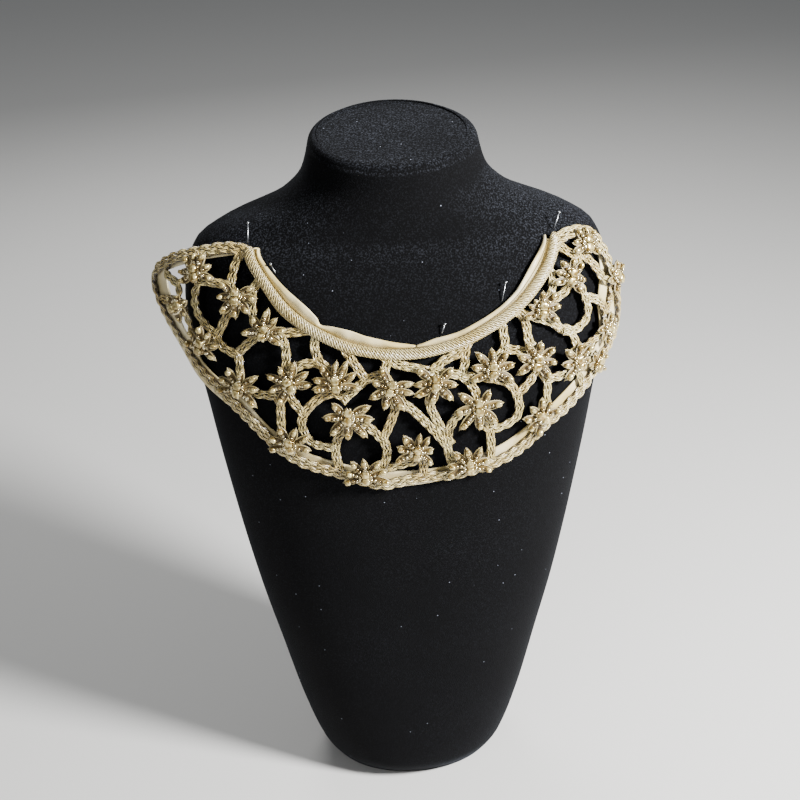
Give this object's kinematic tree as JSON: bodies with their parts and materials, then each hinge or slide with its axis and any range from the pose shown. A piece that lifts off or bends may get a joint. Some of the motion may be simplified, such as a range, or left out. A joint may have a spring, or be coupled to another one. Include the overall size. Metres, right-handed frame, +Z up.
{
  "type": "beaded openwork collar on a velvet display bust",
  "caption": "Ivory openwork yoke collar of silk braid, satin strips and beaded leaf sprigs, pinned on a limbless black velvet bust.",
  "frame": {"origin": "on the flat underside of the bust, on its centre line", "axes": "+Z up, the front of the bust and the collar face -Y, +X to the right in the front view"},
  "size_m": [0.3114, 0.1642, 0.511],
  "materials": {
    "form_velvet": "black cotton velvet glued over a hard form",
    "satin": "ivory silk satin, bias cut",
    "silk_braid": "plaited ivory gold silk cord",
    "beaded_leaf": "thread edged satin leaves with champagne glass seed beads",
    "pin_steel": "polished steel dress pins"
  },
  "bodies": {
    "root": {"display_bust": "form_velvet", "edge_braid": "silk_braid", "neck_braid": "silk_braid", "neck_facing_left": "satin", "neck_facing_right": "satin", "pin_1": "pin_steel", "pin_2": "pin_steel", "pin_3": "pin_steel", "pin_4": "pin_steel", "pin_5": "pin_steel", "satin_edge": "satin", "satin_neck": "satin", "sprig_01": "beaded_leaf", "sprig_02": "beaded_leaf", "sprig_03": "beaded_leaf", "sprig_04": "beaded_leaf", "sprig_05": "beaded_leaf", "sprig_06": "beaded_leaf", "sprig_07": "beaded_leaf", "sprig_08": "beaded_leaf", "sprig_09": "beaded_leaf", "sprig_10": "beaded_leaf", "sprig_11": "beaded_leaf", "sprig_12": "beaded_leaf", "sprig_13": "beaded_leaf", "sprig_14": "beaded_leaf", "sprig_15": "beaded_leaf", "sprig_16": "beaded_leaf", "sprig_17": "beaded_leaf", "sprig_18": "beaded_leaf", "sprig_19": "beaded_leaf", "sprig_20": "beaded_leaf", "sprig_21": "beaded_leaf", "sprig_22": "beaded_leaf", "sprig_23": "beaded_leaf", "sprig_24": "beaded_leaf", "sprig_25": "beaded_leaf", "sprig_26": "beaded_leaf", "vine_net_1": "silk_braid"}
  },
  "joints": []
}
